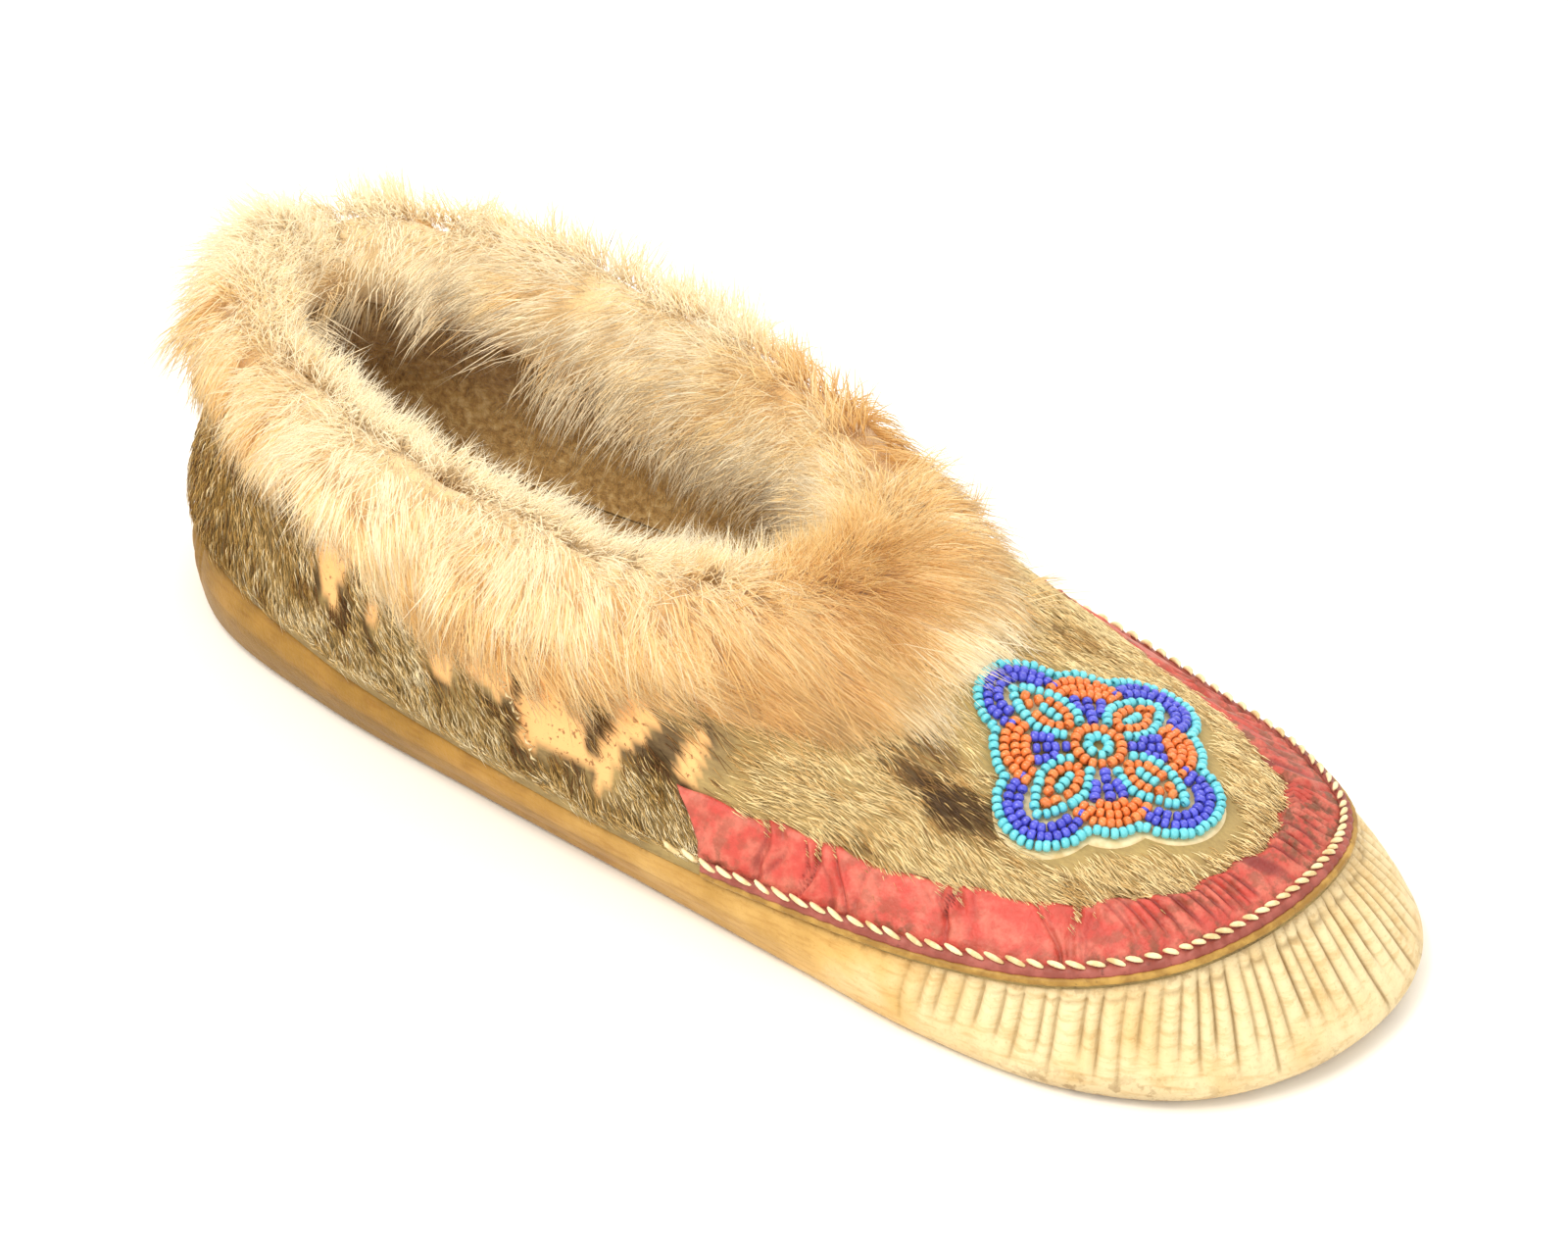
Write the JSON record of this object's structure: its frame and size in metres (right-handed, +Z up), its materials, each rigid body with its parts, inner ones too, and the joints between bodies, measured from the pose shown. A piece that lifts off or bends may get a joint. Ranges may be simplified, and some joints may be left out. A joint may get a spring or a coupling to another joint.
{
  "type": "beaded moccasin slipper",
  "caption": "Fur-trimmed skin moccasin slipper for the left foot, with a puckered turned-up sole, red leather band and beaded rosette.",
  "frame": {"origin": "on the floor, under the middle of the sole", "axes": "+X to the toe, +Y to the little toe's side, +Z up"},
  "size_m": [0.2724, 0.1107, 0.0687],
  "materials": {
    "sole_hide": "smoked and scraped hide, matt, ochre at the heel and cream at the toe",
    "insole_felt": "brown felt, napped",
    "sealskin": "short-haired sealskin, olive tan with dark spots, worn bare in places",
    "red_leather": "dyed red leather, wrinkled and grubby",
    "welt_leather": "golden tan leather roll",
    "fur": "long cream and tan fur",
    "beads": "opaque glass seed beads in turquoise, blue and orange on a pale leather backing"
  },
  "bodies": {
    "root": {"sole": "sole_hide", "insole": "insole_felt", "upper": "sealskin", "red_band": "red_leather", "welt": "welt_leather", "fur_cuff": "fur", "rosette": "beads"}
  },
  "joints": []
}
